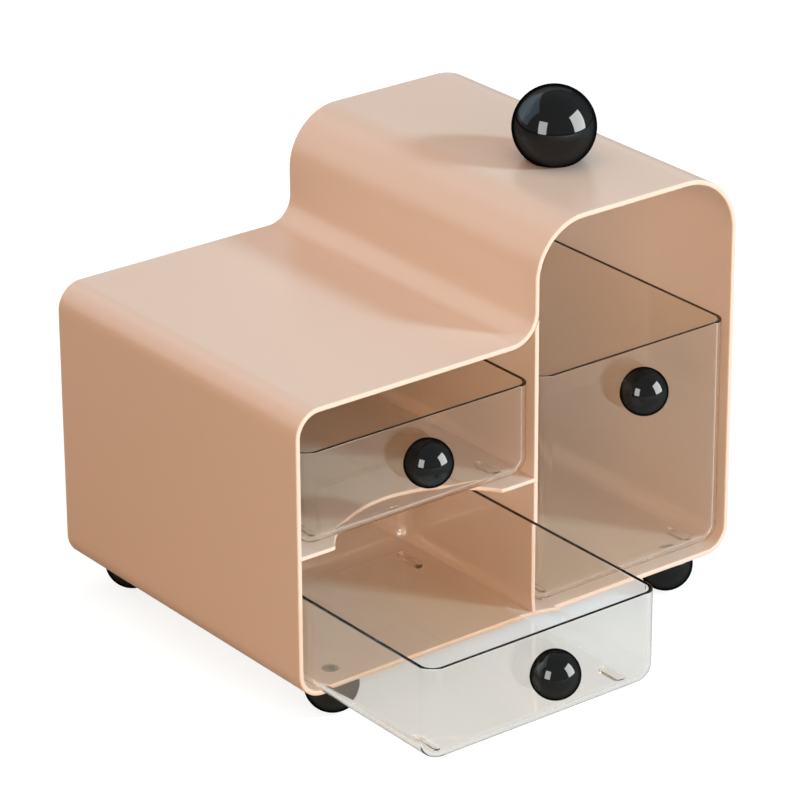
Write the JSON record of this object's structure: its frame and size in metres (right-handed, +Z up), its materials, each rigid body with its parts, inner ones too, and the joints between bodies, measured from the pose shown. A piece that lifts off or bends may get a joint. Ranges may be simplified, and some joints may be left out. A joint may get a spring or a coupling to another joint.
{
  "type": "drawer storage box",
  "caption": "Stepped desktop storage box: clear pull-out drawers with ball knobs slide in a moulded housing on ball feet, with a ball on its raised roof.",
  "frame": {"origin": "on the ground, under the middle of the box round the whole part with its lower drawer pulled out as stored", "axes": "+Z up; -Y towards the user, the way the drawers pull out; +X towards the tall side"},
  "size_m": [0.256, 0.295, 0.2504],
  "materials": {
    "housing_plastic": "satin-gloss moulded plastic, peach",
    "tray_clear": "clear moulded plastic with a warm smoke tint",
    "ball_black": "gloss black",
    "screw_steel": "zinc-plated",
    "insert_brass": "turned"
  },
  "bodies": {
    "housing": {"housing_shell": "housing_plastic", "back_panel": "housing_plastic", "centre_divider": "housing_plastic", "drawer_shelf": "housing_plastic", "top_ball": "ball_black", "top_ball_insert": "insert_brass", "top_ball_screw": "screw_steel", "foot_front_left": "ball_black", "foot_front_right": "ball_black", "foot_rear_left": "ball_black", "foot_rear_right": "ball_black", "foot_screws": "screw_steel"},
    "upper_drawer": {"upper_tray": "tray_clear", "upper_knob": "ball_black", "upper_knob_insert": "insert_brass", "upper_knob_screw": "screw_steel"},
    "lower_drawer": {"lower_tray": "tray_clear", "lower_knob": "ball_black", "lower_knob_insert": "insert_brass", "lower_knob_screw": "screw_steel"},
    "tall_drawer": {"tall_tray": "tray_clear", "tall_knob": "ball_black", "tall_knob_insert": "insert_brass", "tall_knob_screw": "screw_steel"}
  },
  "joints": [
    {"name": "upper_drawer_slide", "type": "slide", "parent": "housing", "child": "upper_drawer", "axis": [0, -1, 0], "range_m": [0, 0.14]},
    {"name": "lower_drawer_slide", "type": "slide", "parent": "housing", "child": "lower_drawer", "axis": [0, -1, 0], "range_m": [-0.09, 0.05]},
    {"name": "tall_drawer_slide", "type": "slide", "parent": "housing", "child": "tall_drawer", "axis": [0, -1, 0], "range_m": [0, 0.14]}
  ]
}
